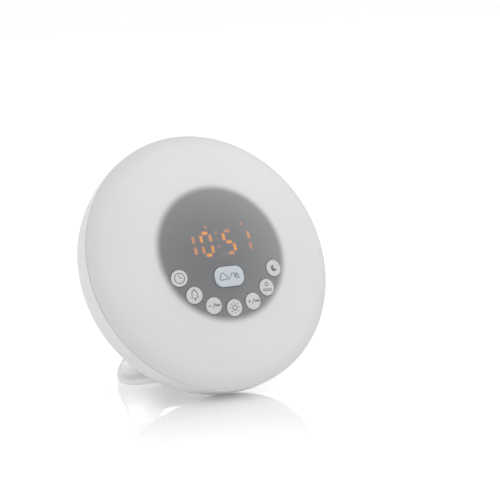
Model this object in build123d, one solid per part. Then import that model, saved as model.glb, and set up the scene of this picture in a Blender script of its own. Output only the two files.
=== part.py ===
"""Sunrise alarm clock: a round light with a domed diffuser, a clock display behind it, eight push buttons,
a speaker in the back and a hinged stand. Millimetres, +Z up, the face looks towards -Y."""

from build123d import *

import os
from math import asin, atan2, cos, degrees, hypot, radians, sin, sqrt, tan

os.makedirs("parts", exist_ok=True)

# ---------------------------------------------------------------- driving dimensions
# Pose of the clock on the table
lean = 25.0  # the face leans back from upright, degrees

# Clearances that many pieces share
fit_gap = 0.3  # between moulded pieces that lie beside each other
past = 1.0  # cutting shapes run this far past what they cut

# Casing: a shallow dish whose side is a straight band, then a tapered band, then a crowned back
rim_radius = 87.5
band_depth = 7.8
side_depth = 19.2
side_taper = 2.2  # the back is this much smaller all round than the rim
back_crown = 13.8
casing_wall = 2.2
back_edge_round = 1.6
least_round = 0.3  # left of that round on the inside of the wall
rim_edge_round = 0.6
ledge_height = 1.5  # ledge that stops the diffuser's skirt

# Front diffuser
rim_lip = 0.7  # casing edge that shows round the dome
shadow_gap = 0.8  # dark line between dome and rim
dome_height = 23.6
dome_crown_radius = 243.0
shoulder_width = 24.8  # outside it the crown's sphere turns into a tighter shoulder
dome_wall = 2.0
skirt_depth = 5.0
skirt_wall = 2.0

# Display mask: the grey cap behind the dome that carries display, buttons and main board
mask_radius = 45.3
mask_plate = 1.6
mask_wall = 1.6

# Display
display_side_margin = 1.1  # beside the outermost segments
display_top_margin = 0.75  # above the alarm dots
display_bottom_margin = 1.85  # below the digits
digits_up = 6.6  # middle of the digits above the middle of the face
digit_height = 15.0
digit_width = 6.6
digit_pitch = 12.2
colon_room = 16.3  # between the two digits beside the colon
colon_across = -1.0
colon_half_height = 3.6
segment_width = 1.5
segment_height = 0.4
segment_gap = 0.5
dot_diameter = 1.5
alarm_dots_up = 11.4  # above the middle of the digits
alarm_dots_across = (-6.6, 20.2)  # beside the colon

# Buttons
button_ring_inset = 7.7  # from the mask's edge to the ring of round buttons
button_count = 7
button_diameter = 11.0
button_spacing = 3.8  # between neighbouring caps, along the ring
button_proud = 0.9
button_gap = 0.3
button_edge_round = 0.4
button_travel = 0.6
flange_width = 1.2  # collar that keeps a cap behind the dome
flange_height = 1.0
stem_diameter = 3.6
snooze_width = 21.0
snooze_height = 13.2
snooze_end_flat = 2.2  # straight part of its short ends
snooze_clearance = 8.4  # from its lower edge to the lowest round button
snooze_proud = 1.1

# Push switches under the buttons
switch_size = 6.0
switch_height = 3.5
plunger_diameter = 3.4
plunger_height = 0.8
plunger_gap = 0.05  # left when a cap is fully down

# Boards, reflector and lamps
board_thickness = 1.6
main_board_gap = 1.2  # between the main board and the mask's wall
main_board_level = 8.0  # back face of the main board in front of the rim plane
reflector_gap = 1.2  # between the reflector and the diffuser's skirt
reflector_thickness = 2.0
reflector_standoff = 1.6  # between the battery tray and the reflector
reflector_lip = 4.5
reflector_lip_wall = 1.5
light_board_clearance = 7.7  # round the display mask
light_board_gap = 0.7
light_count = 18
light_size = 5.0
light_height = 1.5

# Speaker behind its grille
grille_radius = 23.9
grille_gap = 0.3
grille_seat = 1.5  # width of the seat behind the grille's edge
hole_pitch = 2.9
hole_diameter = 1.5
hole_margin = 0.6
gasket_width = 2.6
gasket_thickness = 1.0
seat_margin = 1.2
seat_rise = 0.6
flange_thickness = 1.2
bowl_gap = 0.5
frame_wall = 1.0
basket_depth = 9.0
magnet_radius = 13.0
magnet_neck = 2.0  # the basket's neck is this much smaller than the magnet
magnet_thickness = 6.0
cone_wall = 0.5
cone_surround = 3.0
cone_rise = 5.0
dust_cap_radius = 6.0
dust_cap_dip = 2.0

# Micro-USB inlet
port_left = 38.6
port_down = 4.0
socket_length = 7.6
socket_width = 2.9
socket_depth = 5.6
socket_wall = 0.35
socket_corner = 0.6
socket_floor = 0.6
socket_sunk = 0.2
tongue_length = 4.2
tongue_thickness = 0.6
slot_end_room = 0.5
slot_side_room = 0.3
inlet_board_height = 14.0
inlet_board_depth = 15.0
inlet_standoff = 0.4
rail_height = 14.0
rail_wall = 1.6
rail_slip = 0.1
pinhole_diameter = 1.2
pinhole_up = 6.4

# Battery compartment in the lower back
door_width = 92.0
door_corner = 3.0
door_gap = 0.35
door_sunk = 0.7
door_thickness = 1.5
door_margin = 3.1  # between the hinge pockets and the door
tray_lap = 0.8  # how far the tray's rim reaches under the door
tray_wall = 1.3
tray_relief = 0.4  # under the end of the door that dips as it opens
cell_radius = 5.25
cell_gap = 0.2
cell_rib = 1.2
cell_rib_height = 4.0
thumb_dish_radius = 22.0
thumb_dish_depth = 1.1
thumb_dish_across = 8.2  # from the end of the door
thumb_pad_radius = 7.2
thumb_pad_height = 1.0
bead_radius = 0.9  # round beads that the door turns on
tab_width = 6.0
tab_reach = 2.6
tab_root = 4.0
tab_thickness = 1.4
tab_gap = 0.25
tab_side_gap = 0.5
tab_end_gap = 1.0
tab_swing = 0.9
contact_half_width = 3.6
contact_thickness = 0.4
contact_gap = 0.9
spring_wire = 0.6
spring_turns = 3
spring_length = 5.0
spring_inset = 1.2  # from the contact's edge to the coil
spring_bite = 0.03  # how far the coil's end is pressed into its contact

# Stand
stand_thickness = 3.0
knuckle_radius = 4.6
pivot_sunk = 7.7  # the pivot lies this far in front of the back's middle
arm_inner = 20.6
arm_outer = 34.8
foot_half_width = 43.2
shoulder_length = 14.0
shoulder_slope = 35.0
plate_slope = 54.5
shoulder_bend = 12.0
heel_bend = 4.5
lip_length = 23.0
lip_corner = 8.0
window_bottom = 20.5
window_half_width = 21.0
window_corner = 11.0
pocket_gap = 0.5
pocket_wall = 1.8
pin_diameter = 3.0
pin_seat_gap = 0.02  # round the pins in the casing
pin_running_gap = 0.06  # round the pins in the stand

# Screws
screw_shank = 1.35
screw_head = 2.8
screw_head_height = 1.8
screw_head_gap = 0.5
screw_pilot = screw_shank + 0.02  # holes the screws are driven into
screw_room = screw_shank + 0.25  # holes the shanks pass
pilot_spare = 0.5  # a pilot hole is this much deeper than its screw
board_screw_length = 5.0
mask_screw_length = 7.0
reflector_screw_length = 8.0
speaker_screw_length = 4.0
boss_radius = 3.5
casing_boss_angles = (35.0, 145.0, 215.0, 325.0)
mask_boss_radius = 3.0
mask_boss_angles = (45.0, 135.0, 225.0, 315.0)
mask_boss_gap = 1.0
board_post_radius = 2.6
board_post_spots = ((-31.0, 16.0), (31.0, 16.0), (-19.0, -12.0), (19.0, -12.0))
speaker_ear_gap = 0.6
speaker_ear_margin = 2.1  # between the lowest ears and the hinge pockets
speaker_screw_angles = (90.0, 210.0, 330.0)

# ---------------------------------------------------------------- sizes that follow
back_rim_radius = rim_radius - side_taper
dome_edge_radius = rim_radius - rim_lip
dome_crown_reach = dome_edge_radius - shoulder_width
behind_dome = dome_wall + fit_gap  # inset of what lies against the dome from behind
skirt_outer = rim_radius - casing_wall - fit_gap
skirt_inner = skirt_outer - skirt_wall

button_ring_radius = mask_radius - button_ring_inset
button_step = degrees((button_diameter + button_spacing) / button_ring_radius)
snooze_down = button_ring_radius - button_diameter / 2 - snooze_clearance - snooze_height / 2
snooze_corner = (snooze_height - snooze_end_flat) / 2
inner_digit = colon_room / 2
outer_digit = inner_digit + digit_pitch
digits_half_width = abs(colon_across) + outer_digit + (digit_width + segment_width) / 2
display_width = 2 * (digits_half_width + display_side_margin)
display_top = digits_up + alarm_dots_up + dot_diameter / 2 + display_top_margin
display_bottom = digits_up - (digit_height + segment_width) / 2 - display_bottom_margin
main_board_radius = mask_radius - mask_wall - main_board_gap
mask_boss_ring = mask_radius - mask_wall / 2 - mask_boss_radius

reflector_radius = skirt_inner - reflector_gap
reflector_flat = reflector_radius - reflector_lip - reflector_lip_wall
casing_boss_ring = reflector_flat - screw_head - screw_head_gap
light_board_outer = casing_boss_ring - screw_head - light_board_gap
light_board_inner = mask_radius + light_board_clearance

speaker_opening = grille_radius - grille_seat
speaker_radius = speaker_opening + gasket_width
speaker_screw_ring = speaker_radius + screw_head + speaker_ear_gap
hole_rings = int((speaker_opening - hole_diameter / 2 - hole_margin) / hole_pitch)

# From the speaker's lowest ears down: hinge pockets, then the battery door
pocket_half_height = knuckle_radius + pocket_gap + pocket_wall
lowest_ear = speaker_screw_ring * max(-sin(radians(angle)) for angle in speaker_screw_angles) + screw_head
pivot_down = lowest_ear + speaker_ear_margin + pocket_half_height
pivot_back = side_depth + back_crown - pivot_sunk
door_height = 4 * cell_radius + 2 * (tray_lap + cell_gap)
door_top = -(pivot_down + pocket_half_height + door_margin)
door_bottom = door_top - door_height
door_middle = (door_top + door_bottom) / 2
deepest = -(side_depth + back_crown + past)  # a level behind the whole casing


# ---------------------------------------------------------------- helpers
def disc(radius, low, high):
    """Solid cylinder on the face's axis between two levels."""
    return Pos(0, 0, low) * Cylinder(radius, high - low, align=(Align.CENTER, Align.CENTER, Align.MIN))


def ring(inner, outer, low, high):
    return disc(outer, low, high) - disc(inner, low - past, high + past)


def block(left, right, bottom, top, low, high):
    """Box between limits across the face, up the face and along its axis."""
    corner = Box(right - left, top - bottom, high - low, align=(Align.MIN, Align.MIN, Align.MIN))
    return Pos(left, bottom, low) * corner


def post(x, y, radius, low, high):
    return Pos(x, y, 0) * disc(radius, low, high)


def turned(outline):
    """Solid of revolution from radius and level pairs."""
    return revolve(Plane.XZ * make_face(Polyline(*outline, close=True)), Axis.Z)


def around(radius, angles):
    """Points on a circle of the face."""
    return [(radius * cos(radians(a)), radius * sin(radians(a))) for a in angles]


def even_angles(count, first=0.0):
    return [first + 360.0 * i / count for i in range(count)]


def screw(x, y, head_level, length, towards=1):
    """Pan-head screw: the head's inner face at head_level, the shank going towards +1 or -1 along the axis."""
    shank_end = head_level + towards * length
    head_end = head_level - towards * screw_head_height
    shank = post(x, y, screw_shank, min(head_level, shank_end), max(head_level, shank_end))
    head = post(x, y, screw_head, min(head_level, head_end), max(head_level, head_end))
    return shank + head


def group(pieces):
    return Compound([solid for piece in pieces for solid in piece.solids()])


def edges_of(lines):
    return [edge for line in lines for edge in line.edges()]


# ---------------------------------------------------------------- forms of revolution on the face's axis
def casing_body(inset):
    """The casing's outer form, or the same form smaller by inset all round; open side at the rim plane."""
    rim = rim_radius - inset
    back = back_rim_radius - inset
    side = side_depth - inset / 2
    outline = [
        Line((0, 0), (rim, 0)),
        Line((rim, 0), (rim, -band_depth)),
        Line((rim, -band_depth), (back, -side)),
        crown_arc(back, -side, back_level(0, inset)),
        Line((0, back_level(0, inset)), (0, 0)),
    ]
    profile = make_face(Wire(edges_of(outline)))
    corner = profile.vertices().sort_by_distance((back, -side))[0]
    profile = fillet(corner, max(back_edge_round - inset, least_round))
    return revolve(Plane.XZ * profile, Axis.Z)


def back_level(radius, inset=0.0):
    """Level of the back surface, or of the surface inset in front of it, at a distance from the axis."""
    rise = back_crown - inset / 2
    sphere = ((back_rim_radius - inset) ** 2 + rise**2) / (2 * rise)
    return -(side_depth + back_crown - inset) + sphere - sqrt(sphere**2 - radius**2)


def crown_arc(radius, edge_level, middle_level):
    """Half the section of a spherical cap, from its edge to the axis."""
    rise = edge_level - middle_level
    sphere = (radius**2 + rise**2) / (2 * rise)
    half = 0.5 * atan2(radius, sphere - rise)
    halfway = (sphere * sin(half), middle_level + sphere * (1 - cos(half)))
    return ThreePointArc((radius, edge_level), halfway, (0, middle_level))


# The shoulder is an arc tangent to the crown that ends at the dome's edge
crown_turn = asin(dome_crown_reach / dome_crown_radius)
crown_centre = dome_height - dome_crown_radius
edge_out = dome_edge_radius - dome_crown_reach
edge_down = crown_centre + dome_crown_radius * cos(crown_turn) - shadow_gap
shoulder_radius = (edge_out**2 + edge_down**2) / (2 * (edge_down * cos(crown_turn) - edge_out * sin(crown_turn)))
shoulder_out = dome_crown_reach - shoulder_radius * sin(crown_turn)
shoulder_centre = crown_centre + (dome_crown_radius - shoulder_radius) * cos(crown_turn)


def dome_turn(inset):
    """Radius at which the surface inset behind the dome turns from crown to shoulder."""
    return (dome_crown_radius - inset) * sin(crown_turn)


def dome_level(radius, inset=0.0):
    """Level of the dome's surface, or of the surface inset behind it."""
    if radius <= dome_turn(inset):
        return crown_centre + sqrt((dome_crown_radius - inset) ** 2 - radius**2)
    return shoulder_centre + sqrt((shoulder_radius - inset) ** 2 - (radius - shoulder_out) ** 2)


def dome_arc(outer, inner, inset):
    stops = [(r, dome_level(r, inset)) for r in (outer, (outer + inner) / 2, inner)]
    return ThreePointArc(*stops)


def dome_body(inset, edge_radius, base):
    """Everything behind the dome's surface (moved in by inset) down to a flat base."""
    crown_edge = min(edge_radius, dome_turn(inset))
    outline = [
        Line((0, base), (edge_radius, base)),
        Line((edge_radius, base), (edge_radius, dome_level(edge_radius, inset))),
        dome_arc(crown_edge, 0, inset),
        Line((0, dome_level(0, inset)), (0, base)),
    ]
    if edge_radius > crown_edge:
        outline.insert(2, dome_arc(edge_radius, crown_edge, inset))
    return revolve(Plane.XZ * make_face(Wire(edges_of(outline))), Axis.Z)


# Depths from the battery door inwards: cells, tray, reflector
cell_level = back_level(hypot(door_width / 2, door_middle - cell_radius))
cell_level += door_sunk + door_thickness + 2 * cell_radius + cell_gap
reflector_back = cell_level + tray_wall + reflector_standoff
reflector_level = reflector_back + reflector_thickness

casing_outer = casing_body(0.0)
casing_inner = casing_body(casing_wall)
casing_shell = casing_outer - casing_inner
wall_middle = casing_body(casing_wall / 2)  # what is moulded onto the wall starts in the middle of it
in_front = dome_height + snooze_proud + past  # a level in front of the whole face

# ---------------------------------------------------------------- place of the face above the table
tilt = Rot(90 - lean, 0, 0)
centre_height = -(tilt * casing_outer).bounding_box().min.Z
face = Pos(0, 0, centre_height) * tilt
saved = {}


def save(name, piece, at=face):
    """Keep a piece, placed from the face's own axes unless it's already upright."""
    saved[name] = at * piece


# Stand pivot in the upright plane through the axis: distance behind the face's centre and height
pivot_y = -pivot_down * sin(radians(lean)) + pivot_back * cos(radians(lean))
pivot_z = centre_height - pivot_down * cos(radians(lean)) - pivot_back * sin(radians(lean))


# ---------------------------------------------------------------- buttons
def round_plug(grow):
    """Upright plug of a round cap's outline, larger by grow all round."""
    return disc(button_diameter / 2 + grow, 0, in_front)


def snooze_plug(grow):
    outline = RectangleRounded(snooze_width + 2 * grow, snooze_height + 2 * grow, snooze_corner + grow)
    return extrude(outline, in_front)


button_names = (
    "button_clock",
    "button_alarm",
    "button_minus",
    "button_light",
    "button_plus",
    "button_mode",
    "button_sleep",
)
button_angles = [-90 + (i - (button_count - 1) / 2) * button_step for i in range(button_count)]
buttons = [
    (name, spot, round_plug, button_diameter / 2, button_proud)
    for name, spot in zip(button_names, around(button_ring_radius, button_angles))
]
buttons.append(("button_snooze", (0, -snooze_down), snooze_plug, snooze_height / 2, snooze_proud))

board_front = main_board_level + board_thickness
plunger_top = board_front + switch_height + plunger_height
stem_end = plunger_top + button_travel + plunger_gap


def button_cap(spot, plug, half_size, proud):
    """Cap through the dome, collar behind it and stem down to its switch."""
    x, y = spot
    distance = hypot(x, y)
    collar_top = dome_level(distance + half_size, behind_dome) - fit_gap
    collar_band = disc(rim_radius, collar_top - flange_height, collar_top)
    head = (Pos(x, y, 0) * plug(0.0)) & dome_body(-proud, dome_edge_radius, 0)
    head = fillet(head.edges().filter_by(lambda edge: edge.center().Z > collar_top), button_edge_round)
    head = head & disc(rim_radius, collar_top - flange_height, in_front)
    collar = (Pos(x, y, 0) * plug(flange_width)) & collar_band
    return head.fuse(collar, post(x, y, stem_diameter / 2, stem_end, collar_top))


def button_holes(grow):
    return [Pos(x, y, 0) * plug(grow) for name, (x, y), plug, half_size, proud in buttons]


for name, spot, plug, half_size, proud in buttons:
    save(name, button_cap(spot, plug, half_size, proud))

# ---------------------------------------------------------------- front diffuser
dome = dome_body(0, dome_edge_radius, shadow_gap)
diffuser = dome - dome_body(dome_wall, skirt_inner, shadow_gap - past)
diffuser += ring(skirt_inner, skirt_outer, -skirt_depth, shadow_gap + skirt_wall / 4)
for hole in button_holes(button_gap):
    diffuser -= hole
save("front_diffuser", diffuser)

# ---------------------------------------------------------------- display mask
mask_room = mask_radius - mask_wall
mask = dome_body(behind_dome, mask_radius, reflector_level)
mask -= dome_body(behind_dome + mask_plate, mask_room, reflector_level - past)
mask_boss_spots = around(mask_boss_ring, mask_boss_angles)
mask_pilot_end = reflector_back + mask_screw_length + pilot_spare
for x, y in mask_boss_spots:
    boss = post(x, y, mask_boss_radius, reflector_level, main_board_level - mask_boss_gap)
    mask += boss & disc(mask_radius - mask_wall / 2, reflector_level, main_board_level)
    mask -= post(x, y, screw_pilot, reflector_level - past, mask_pilot_end)
post_room = dome_body(behind_dome + mask_plate / 2, mask_room, board_front)
for x, y in board_post_spots:
    mask += post(x, y, board_post_radius, board_front, in_front) & post_room
    mask -= post(x, y, screw_pilot, board_front - past, main_board_level + board_screw_length + pilot_spare)
for hole in button_holes(flange_width + button_gap):
    mask -= hole & disc(mask_radius, board_front, in_front)
mask -= block(-display_width / 2, display_width / 2, display_bottom, display_top, board_front, in_front)
save("display_mask", mask)

# ---------------------------------------------------------------- display module and its digits
display_reach = hypot(display_width / 2, display_top)
display_front = dome_level(display_reach, behind_dome) - segment_height - fit_gap
module = block(
    -display_width / 2 + fit_gap,
    display_width / 2 - fit_gap,
    display_bottom + fit_gap,
    display_top - fit_gap,
    board_front,
    display_front,
)
save("display_module", module)


def bar(x, y, length, upright):
    """One lit segment: a flat bar with pointed ends."""
    half, tip = length / 2, segment_width / 2
    outline = [(-half, 0), (-half + tip, tip), (half - tip, tip), (half, 0), (half - tip, -tip), (-half + tip, -tip)]
    shape = extrude(make_face(Polyline(*outline, close=True)), segment_height)
    return Pos(x, y, display_front) * Rot(0, 0, 90 if upright else 0) * shape


def digit(x):
    """Seven segments round a centre."""
    reach = digit_height / 2
    bars = [bar(x, digits_up + y, digit_width - segment_gap, False) for y in (-reach, 0, reach)]
    for across in (-digit_width / 2, digit_width / 2):
        for up in (-reach / 2, reach / 2):
            bars.append(bar(x + across, digits_up + up, reach - segment_gap, True))
    return bars


segments = [part for x in (-outer_digit, -inner_digit, inner_digit, outer_digit) for part in digit(colon_across + x)]
dot_spots = [(0, -colon_half_height), (0, colon_half_height)] + [(x, alarm_dots_up) for x in alarm_dots_across]
for across, up in dot_spots:
    x, y = colon_across + across, digits_up + up
    segments.append(post(x, y, dot_diameter / 2, display_front, display_front + segment_height))
save("display_digits", group(segments))

# ---------------------------------------------------------------- main board, switches, screws
main_board = disc(main_board_radius, main_board_level, board_front)
for x, y in board_post_spots:
    main_board -= post(x, y, screw_room, main_board_level - past, board_front + past)
save("main_board", main_board)


def switch(x, y):
    half = switch_size / 2
    body = block(x - half, x + half, y - half, y + half, board_front, board_front + switch_height)
    return body + post(x, y, plunger_diameter / 2, board_front, plunger_top)


save("tact_switches", group([switch(x, y) for name, (x, y), plug, half_size, proud in buttons]))
save("board_screws", group([screw(x, y, main_board_level, board_screw_length) for x, y in board_post_spots]))

# ---------------------------------------------------------------- reflector, light board and lamps
lip_top = reflector_level + reflector_lip
reflector = turned(
    [
        (0, reflector_back),
        (reflector_radius, reflector_back),
        (reflector_radius, reflector_level),
        (reflector_radius - reflector_lip, reflector_level),
        (reflector_radius, lip_top),
        (reflector_radius - reflector_lip_wall, lip_top),
        (reflector_flat, reflector_level),
        (0, reflector_level),
    ]
)
casing_boss_spots = around(casing_boss_ring, casing_boss_angles)
for x, y in casing_boss_spots + mask_boss_spots:
    reflector -= post(x, y, screw_room, reflector_back - past, reflector_level + past)
save("reflector", reflector)

light_board_front = reflector_level + board_thickness
save("light_board", ring(light_board_inner, light_board_outer, reflector_level, light_board_front))
light_ring = (light_board_inner + light_board_outer) / 2
lamp = block(-light_size / 2, light_size / 2, -light_size / 2, light_size / 2, 0, light_height)
lamps = [Rot(0, 0, angle) * Pos(light_ring, 0, light_board_front) * lamp for angle in even_angles(light_count)]
save("light_leds", group(lamps))
reflector_screws = [screw(x, y, reflector_level, reflector_screw_length, -1) for x, y in casing_boss_spots]
save("reflector_screws", group(reflector_screws))
save("mask_screws", group([screw(x, y, reflector_back, mask_screw_length) for x, y in mask_boss_spots]))

# ---------------------------------------------------------------- rear casing
rim_corner = casing_shell.edges().filter_by(GeomType.CIRCLE).group_by(Axis.Z)[-1].sort_by(SortBy.RADIUS)[-1]
casing = fillet(rim_corner, rim_edge_round)

# ledge for the diffuser's skirt
ledge_top = -skirt_depth - fit_gap
casing += ring(skirt_inner, rim_radius - casing_wall / 2, ledge_top - ledge_height, ledge_top)

# bosses for the reflector's screws
casing_pilot_end = reflector_level - reflector_screw_length - pilot_spare
for x, y in casing_boss_spots:
    casing += post(x, y, boss_radius, deepest, reflector_back) & wall_middle
    casing -= post(x, y, screw_pilot, casing_pilot_end, reflector_back + past)

# speaker seat, screw bosses and the round opening for the grille
speaker_seat = back_level(speaker_radius) + casing_wall + seat_rise
casing += ring(speaker_opening, speaker_radius + seat_margin, deepest, speaker_seat) & wall_middle
gasket_front = speaker_seat + gasket_thickness
flange_back = gasket_front + cone_wall
flange_front = flange_back + flange_thickness
speaker_screw_spots = around(speaker_screw_ring, speaker_screw_angles)
speaker_pilot_end = flange_front - speaker_screw_length - pilot_spare
for x, y in speaker_screw_spots:
    casing += post(x, y, screw_head, deepest, flange_back) & wall_middle
    casing -= post(x, y, screw_pilot, speaker_pilot_end, flange_back + past)
casing -= disc(grille_radius + grille_gap, deepest, 0) & casing_shell

# inlet slot and pinhole
inlet_x = -port_left
slot_length = socket_length + 2 * slot_end_room
slot_width = socket_width + 2 * slot_side_room
slot = extrude(Rot(0, 0, 90) * SlotOverall(slot_length, slot_width), back_crown)
casing -= Pos(inlet_x, -port_down, deepest) * slot
casing -= post(inlet_x, -port_down + pinhole_up, pinhole_diameter / 2, deepest, -side_depth)

# rails that hold the inlet board
inlet_board_x = inlet_x + socket_width / 2
inlet_low = back_level(port_left) + casing_wall + inlet_standoff
rail_top = back_level(port_left) + rail_height
groove = block(
    inlet_board_x - rail_slip,
    inlet_board_x + board_thickness + rail_slip,
    -port_down - inlet_board_height / 2 - rail_slip,
    -port_down + inlet_board_height / 2 + rail_slip,
    inlet_low,
    rail_top + past,
)
for end in (-1, 1):
    middle = -port_down + end * inlet_board_height / 2
    rail = block(
        inlet_board_x - rail_wall,
        inlet_board_x + board_thickness + rail_wall,
        middle - rail_wall,
        middle + rail_wall,
        deepest,
        rail_top,
    )
    casing += (rail & wall_middle) - groove

# hinge pockets
pocket_floor = -pivot_back + knuckle_radius + pocket_gap
for side in (-1, 1):
    left, right = sorted((side * (arm_inner - pocket_gap), side * (arm_outer + pocket_gap)))
    pocket = block(
        left,
        right,
        -pivot_down - knuckle_radius - pocket_gap,
        -pivot_down + knuckle_radius + pocket_gap,
        deepest,
        pocket_floor,
    )
    walls = block(
        left - pocket_wall,
        right + pocket_wall,
        -pivot_down - pocket_half_height,
        -pivot_down + pocket_half_height,
        deepest,
        pocket_floor + pocket_wall,
    )
    casing += walls & wall_middle
    casing -= pocket
pin_length = arm_outer - arm_inner + 2 * pocket_gap + 2 * pocket_wall
pin_middle = (arm_outer + arm_inner) / 2


def cross_pin(radius, side):
    """Cylinder across the clock on the stand's pivot, through one pocket and its walls."""
    return Pos(side * pin_middle, -pivot_down, -pivot_back) * Rot(0, 90, 0) * Cylinder(radius, pin_length)


for side in (-1, 1):
    casing -= cross_pin(pin_diameter / 2 + pin_seat_gap, side)

# opening for the battery door
def door_prism(grow):
    outline = RectangleRounded(door_width + 2 * grow, door_height + 2 * grow, door_corner + grow)
    return Pos(0, door_middle, deepest) * extrude(outline, cell_level - deepest)


casing -= door_prism(door_gap) & casing_shell
save("rear_casing", casing)

# ---------------------------------------------------------------- battery tray
tray_half_width = door_width / 2 - tray_lap
tray_outer = block(
    -door_width / 2 - tray_wall,
    door_width / 2 + tray_wall,
    door_bottom - tray_wall,
    door_top + tray_wall,
    deepest,
    cell_level + tray_wall,
)
tray_room = block(
    -tray_half_width, tray_half_width, door_bottom + tray_lap, door_top - tray_lap, deepest - past, cell_level
)
tray = (tray_outer & casing_inner) - tray_room
tab_rows = [door_middle - door_height / 4, door_middle + door_height / 4]
tab_inset = casing_wall + tab_gap  # the tabs lie this far inside the back
tab_corner = hypot(door_width / 2 + tab_reach, tab_rows[0] - tab_width / 2)
tab_slot_top = back_level(tab_corner, tab_inset + tab_thickness) + tab_swing
for row in tab_rows:
    tray -= block(
        -door_width / 2 - tab_reach - tab_end_gap,
        -tray_half_width + past,
        row - tab_width / 2 - tab_side_gap,
        row + tab_width / 2 + tab_side_gap,
        deepest,
        tab_slot_top,
    )
relief = block(-door_width / 2 - past, -tray_half_width, door_bottom - past, door_top + past, deepest, 0)
tray -= relief & (casing_inner - casing_body(casing_wall + tray_relief))
tray += block(
    -tray_half_width,
    tray_half_width + tray_lap,
    door_middle - cell_rib / 2,
    door_middle + cell_rib / 2,
    cell_level - cell_rib_height,
    cell_level + tray_wall / 2,
)
save("battery_tray", tray)

# ---------------------------------------------------------------- battery contacts and springs
contacts, springs = [], []
contact_low = back_level(hypot(tray_half_width, door_bottom)) + door_sunk + door_thickness + contact_gap
contact_middle = (contact_low + cell_level) / 2
for row, side in ((door_middle - cell_radius, -1), (door_middle + cell_radius, 1)):
    for end in (-1, 1):
        left, right = sorted((end * tray_half_width, end * (tray_half_width - contact_thickness)))
        low_edge, high_edge = row - contact_half_width, row + contact_half_width
        contacts.append(block(left, right, low_edge, high_edge, contact_low, cell_level))
    coil_path = Helix(spring_length / spring_turns, spring_length, contact_half_width - spring_inset)
    coil_section = Plane(coil_path @ 0, z_dir=coil_path % 0) * Circle(spring_wire / 2)
    coil_start = side * (tray_half_width - contact_thickness - spring_wire / 2 + spring_bite)
    coil = sweep(coil_section, path=coil_path)
    springs.append(Pos(coil_start, row, contact_middle) * Rot(0, -90 * side, 0) * coil)
save("battery_contacts", group(contacts))
save("battery_springs", group(springs))

# ---------------------------------------------------------------- battery door
back_sphere = (back_rim_radius**2 + back_crown**2) / (2 * back_crown)
back_centre = Vector(0, 0, back_sphere - side_depth - back_crown)


def from_back(x, y, outside):
    """Point at a distance outside the back's surface, square to it."""
    on_surface = Vector(x, y, back_level(hypot(x, y)))
    return back_centre + (on_surface - back_centre).normalized() * (back_sphere + outside)


door = door_prism(0) & (casing_body(door_sunk) - casing_body(door_sunk + door_thickness))
dish_x = door_width / 2 - thumb_dish_across
pad_shell = casing_body(door_sunk + door_thickness / 2) - casing_body(door_sunk + door_thickness + thumb_pad_height)
door += post(dish_x, door_middle, thumb_pad_radius, deepest, 0) & pad_shell
dish_centre = from_back(dish_x, door_middle, thumb_dish_radius - thumb_dish_depth - door_sunk)
door -= Pos(dish_centre) * Sphere(thumb_dish_radius)

# Two beads in the near end of the door's thickness, and two tabs that reach under the casing's wall beside them
bead_x = -door_width / 2 + bead_radius
beads = [Vector(from_back(bead_x, row, -door_sunk - door_thickness / 2)) for row in tab_rows]
hinge_line = (beads[1] - beads[0]).normalized()
tab_shell = casing_body(tab_inset) - casing_body(tab_inset + tab_thickness)
web_shell = casing_body(door_sunk + door_thickness / 2) - casing_body(tab_inset + tab_thickness)
for row, bead in zip(tab_rows, beads):
    bottom, top = row - tab_width / 2, row + tab_width / 2
    tab = block(-door_width / 2 - tab_reach, -door_width / 2 + tab_root, bottom, top, deepest, cell_level)
    web = block(-door_width / 2 + door_gap, -door_width / 2 + tab_root, bottom, top, deepest, cell_level)
    door += tab & tab_shell
    door += web & web_shell
    door += Plane(bead, z_dir=hinge_line) * Cylinder(bead_radius, tab_width)
save("battery_door", door)

# ---------------------------------------------------------------- speaker and grille
grille = disc(grille_radius, deepest, 0) & casing_shell
drill = Pos(0, 0, deepest) * extrude(RegularPolygon(hole_diameter / 2, 6), back_crown)
drills = [drill]
for turn in range(1, hole_rings + 1):
    drills += [Rot(0, 0, angle) * Pos(turn * hole_pitch, 0, 0) * drill for angle in even_angles(6 * turn, 90)]
grille -= drills
save("speaker_grille", grille)

save("speaker_gasket", ring(speaker_opening, speaker_radius, speaker_seat, gasket_front))
bowl_radius = speaker_opening - bowl_gap
neck = magnet_radius - magnet_neck
basket_front = flange_front + basket_depth
cone_edge = bowl_radius - cone_surround
cone_top = flange_back + cone_rise

frame = turned(
    [
        (bowl_radius - frame_wall, flange_back),
        (speaker_radius, flange_back),
        (speaker_radius, flange_front),
        (bowl_radius, flange_front),
        (neck, basket_front),
        (neck - frame_wall, basket_front),
        (bowl_radius - frame_wall, flange_front),
    ]
)
ear = block(bowl_radius, speaker_screw_ring, -screw_head, screw_head, flange_back, flange_front)
ear += post(speaker_screw_ring, 0, screw_head, flange_back, flange_front)
ear -= post(speaker_screw_ring, 0, screw_room, flange_back - past, flange_front + past)
for angle in speaker_screw_angles:
    frame += Rot(0, 0, angle) * ear
save("speaker_frame", frame)
save("speaker_magnet", disc(magnet_radius, basket_front, basket_front + magnet_thickness))
cone = turned(
    [
        (0, cone_top - dust_cap_dip),
        (dust_cap_radius, cone_top),
        (cone_edge, gasket_front),
        (speaker_radius, gasket_front),
        (speaker_radius, flange_back),
        (cone_edge, flange_back),
        (dust_cap_radius, cone_top + cone_wall),
        (0, cone_top - dust_cap_dip + cone_wall),
    ]
)
save("speaker_cone", cone)
speaker_screws = [screw(x, y, flange_front, speaker_screw_length, -1) for x, y in speaker_screw_spots]
save("speaker_screws", group(speaker_screws))

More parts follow.
